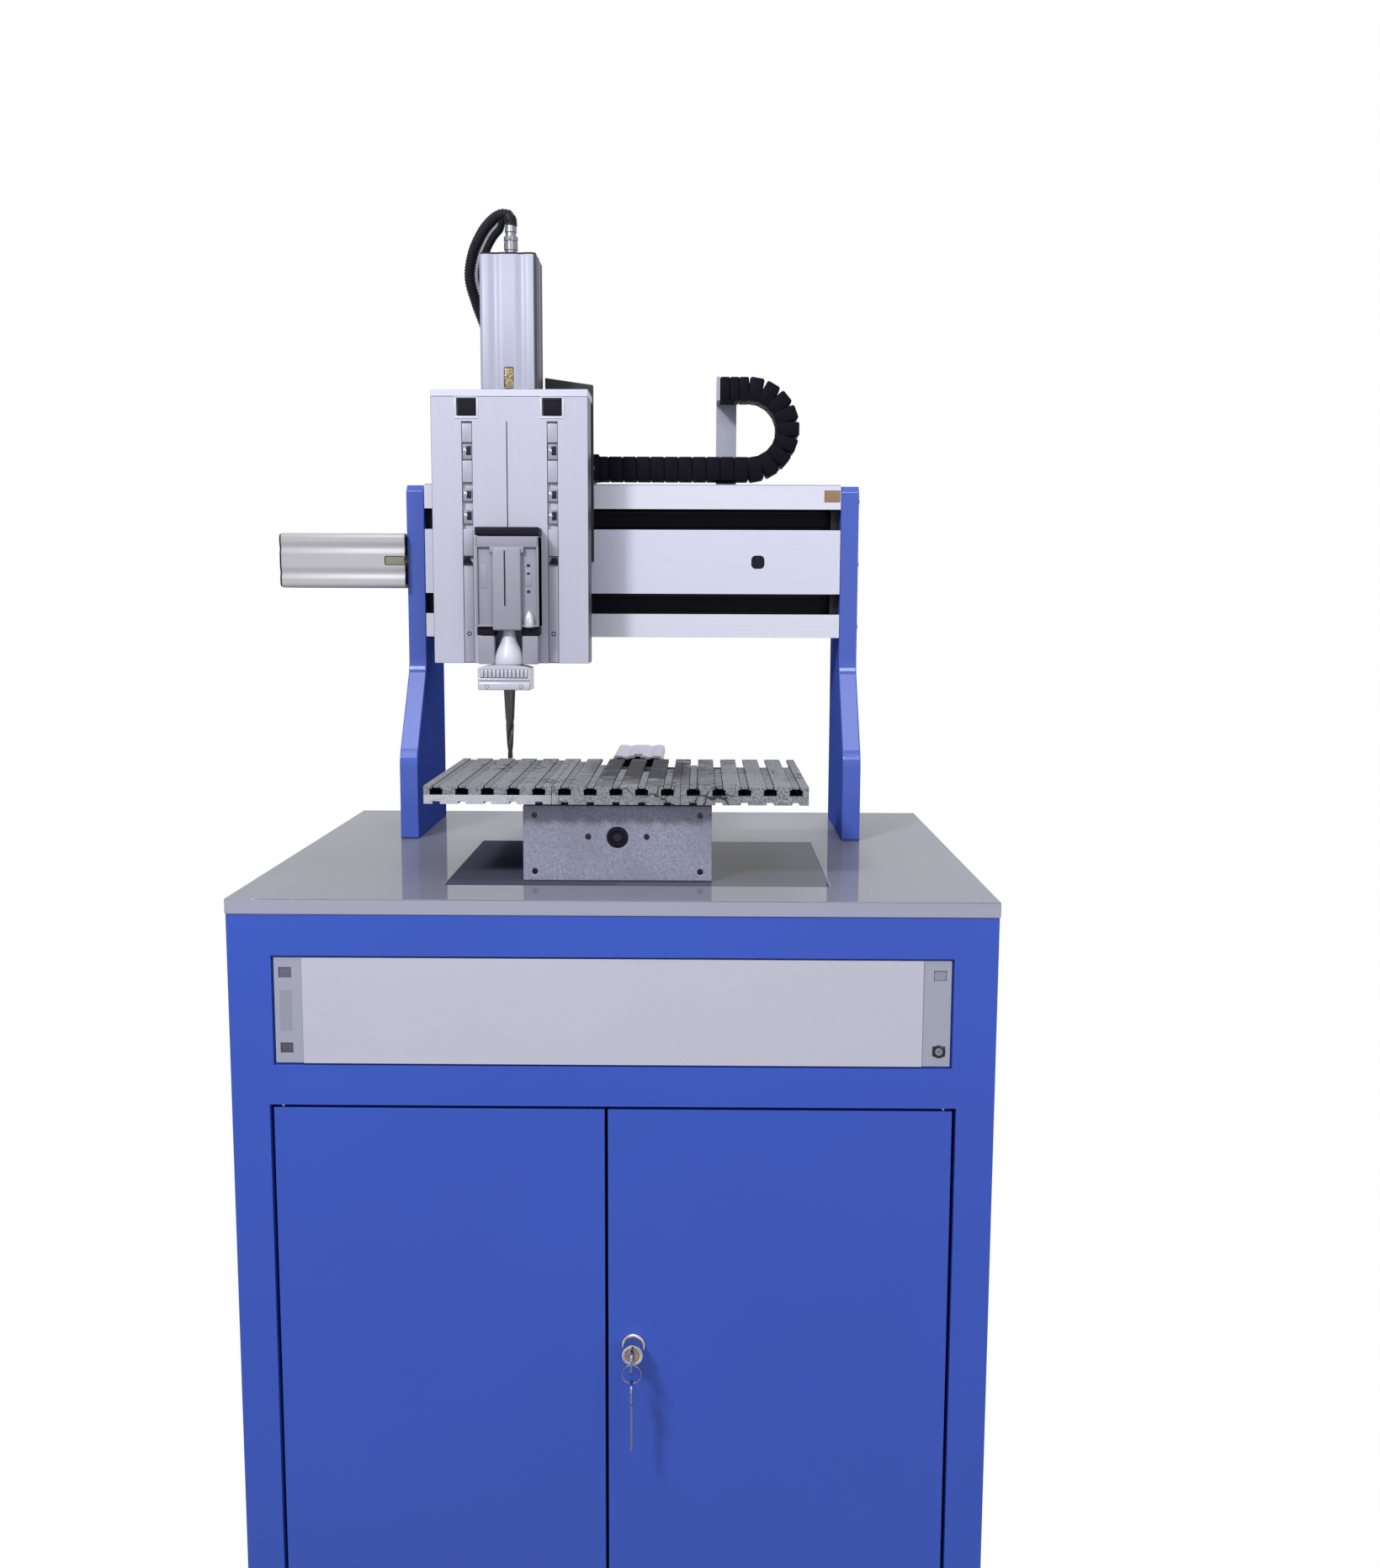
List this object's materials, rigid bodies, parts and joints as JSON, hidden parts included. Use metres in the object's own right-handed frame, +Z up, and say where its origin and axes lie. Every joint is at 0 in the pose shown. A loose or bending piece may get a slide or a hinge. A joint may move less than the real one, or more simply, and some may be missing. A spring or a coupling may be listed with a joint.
{
  "type": "cnc router",
  "caption": "Bench-top CNC router: fixed blue gantry, T-slot table that slides under it, motorised vertical head with spindle, all on a steel cabinet with hinged lockable doors.",
  "frame": {"origin": "middle of the cabinet's base, on the floor", "axes": "+Z up, +X to the machine's right seen from the front, +Y to its back"},
  "size_m": [0.7778, 0.7618, 1.4528],
  "materials": {
    "blue_paint": "semi-gloss powder coat",
    "worktop_laminate": "polished laminate",
    "white_plate": "satin",
    "grey_panel": "satin",
    "anodised": "fine satin anodised",
    "cast_grey": "rough, machined and marked",
    "ground_steel": "ground",
    "dark_steel": "dark coated",
    "black_plastic": "matt",
    "dark_gloss": "polished",
    "brass": "bright",
    "chrome": "polished"
  },
  "bodies": {
    "machine": {"cabinet_shell": "blue_paint", "worktop": "worktop_laminate", "base_sheet": "dark_gloss", "rack_panel": "grey_panel", "label_plate": "white_plate", "controller_case": "grey_panel", "pivot_left_low": "ground_steel", "pivot_left_high": "ground_steel", "pivot_right_low": "ground_steel", "pivot_right_high": "ground_steel", "gantry_left": "blue_paint", "gantry_right": "blue_paint", "x_beam": "anodised", "x_cover": "white_plate", "x_rail_upper": "ground_steel", "x_rail_lower": "ground_steel", "x_motor": "black_plastic", "x_motor_cover": "anodised", "chain_upper": "black_plastic", "chain_tray": "grey_panel", "chain_bracket": "grey_panel", "y_profile": "anodised", "y_front_plate": "anodised", "y_rail_left": "ground_steel", "y_rail_right": "ground_steel", "y_motor": "black_plastic", "y_motor_cover": "anodised"},
    "x_drive": {"x_screw": "ground_steel", "x_coupling": "brass"},
    "y_drive": {"y_screw": "ground_steel", "y_coupling": "brass"},
    "table": {"y_slider": "anodised", "table_plank_1": "cast_grey", "table_plank_2": "cast_grey", "table_plank_3": "cast_grey"},
    "x_carriage": {"x_slider": "anodised", "z_slider": "anodised", "chain_lower": "black_plastic"},
    "chain_loop": {"chain_bend": "black_plastic"},
    "z_head": {"z_profile": "anodised", "z_top_plate": "anodised", "z_rail_left": "ground_steel", "z_rail_right": "ground_steel", "z_motor": "black_plastic", "z_motor_cover": "anodised", "z_connector": "chrome", "z_lead": "black_plastic", "spindle_cover": "anodised", "spindle_body": "anodised", "tool_clamp": "anodised"},
    "z_drive": {"z_screw": "ground_steel", "z_coupling": "brass"},
    "spindle": {"spindle_shaft": "ground_steel", "cutter": "dark_steel"},
    "left_door": {"door_left": "blue_paint"},
    "right_door": {"door_right": "blue_paint", "lock_barrel": "chrome"},
    "lock": {"lock_plug": "brass", "key": "chrome"},
    "spare": {"spare_key": "chrome"}
  },
  "joints": [
    {"name": "x_slide", "type": "slide", "parent": "machine", "child": "x_carriage", "axis": [1, 0, 0], "range_m": [-0.016, 0.282], "deforming": ["chain_lower"]},
    {"name": "z_slide", "type": "slide", "parent": "x_carriage", "child": "z_head", "axis": [0, 0, 1], "range_m": [0, 0.12], "deforming": ["z_lead"]},
    {"name": "y_slide", "type": "slide", "parent": "machine", "child": "table", "axis": [0, 1, 0], "range_m": [0, 0.27]},
    {"name": "x_screw_spin", "type": "hinge", "parent": "machine", "child": "x_drive", "pos_m": [0, 0.1495, 1.062], "axis": [1, 0, 0], "continuous": true},
    {"name": "y_screw_spin", "type": "hinge", "parent": "machine", "child": "y_drive", "pos_m": [0, -0.1842, 0.784], "axis": [0, 1, 0], "continuous": true},
    {"name": "z_screw_spin", "type": "hinge", "parent": "z_head", "child": "z_drive", "pos_m": [-0.134, 0.0828, 0.945], "axis": [0, 0, 1], "continuous": true},
    {"name": "spindle_spin", "type": "hinge", "parent": "z_head", "child": "spindle", "pos_m": [-0.134, 0.0281, 0.838], "axis": [0, 0, 1], "continuous": true},
    {"name": "chain_roll", "type": "slide", "parent": "machine", "child": "chain_loop", "axis": [1, 0, 0], "range_m": [-0.008, 0.141], "deforming": ["chain_upper"]},
    {"name": "left_door_hinge", "type": "hinge", "parent": "machine", "child": "left_door", "pos_m": [-0.314, -0.285, 0.037], "axis": [0, 0, -1], "range_deg": [0, 110]},
    {"name": "right_door_hinge", "type": "hinge", "parent": "machine", "child": "right_door", "pos_m": [0.314, -0.285, 0.037], "axis": [0, 0, 1], "range_deg": [0, 110]},
    {"name": "lock_turn", "type": "hinge", "parent": "right_door", "child": "lock", "pos_m": [0.0197, -0.312, 0.302], "axis": [0, -1, 0], "range_deg": [0, 90]},
    {"name": "spare_key_swing", "type": "hinge", "parent": "lock", "child": "spare", "pos_m": [0.0197, -0.3285, 0.302], "axis": [0, -1, 0], "range_deg": [-30, 30]}
  ],
  "couplings": [
    {"joint": "x_screw_spin", "follows": "x_slide", "rad_per_m": 628.32},
    {"joint": "chain_roll", "follows": "x_slide", "ratio": 0.5},
    {"joint": "y_screw_spin", "follows": "y_slide", "rad_per_m": 628.32},
    {"joint": "z_screw_spin", "follows": "z_slide", "rad_per_m": 628.32}
  ]
}
